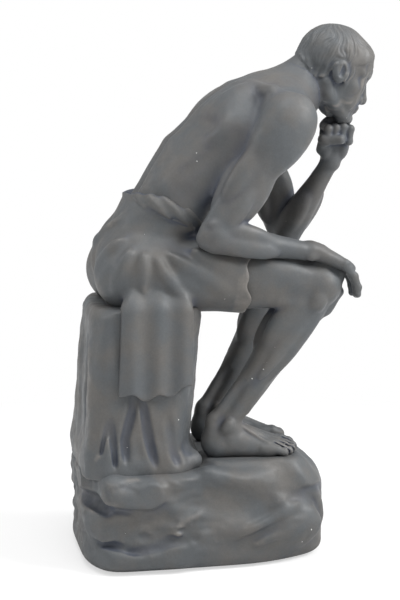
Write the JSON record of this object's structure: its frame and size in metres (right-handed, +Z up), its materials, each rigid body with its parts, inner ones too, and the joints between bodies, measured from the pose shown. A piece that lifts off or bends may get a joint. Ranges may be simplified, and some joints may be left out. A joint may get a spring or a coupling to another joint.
{
  "type": "seated figure statue",
  "caption": "Cast table statue of a draped man in thought, seated on a block of rock with his chin on his fist.",
  "frame": {"origin": "middle of the felt's underside, where the statue stands on the table", "axes": "+Z up, +X the way the figure faces, +Y to the figure's own left"},
  "size_m": [0.1768, 0.1141, 0.307],
  "materials": {
    "cast": "satin",
    "steel": "satin",
    "brass": "satin",
    "ballast": "matte",
    "board": "matte",
    "felt": "matte"
  },
  "bodies": {
    "root": {"base_casting": "cast", "seat_rock_casting": "cast", "draped_hips_casting": "cast", "torso_casting": "cast", "head_casting": "cast", "right_arm_casting": "cast", "left_arm_casting": "cast", "right_leg_casting": "cast", "left_leg_casting": "cast", "neck_dowel": "steel", "waist_dowels": "steel", "shoulder_dowels": "steel", "thigh_dowels": "steel", "seat_dowels": "steel", "tie_rod": "steel", "tie_rod_nut": "steel", "tie_rod_washer": "steel", "hip_insert": "brass", "ballast_block": "ballast", "bottom_plate": "board", "plate_screws": "steel", "felt_pad": "felt"}
  },
  "joints": []
}
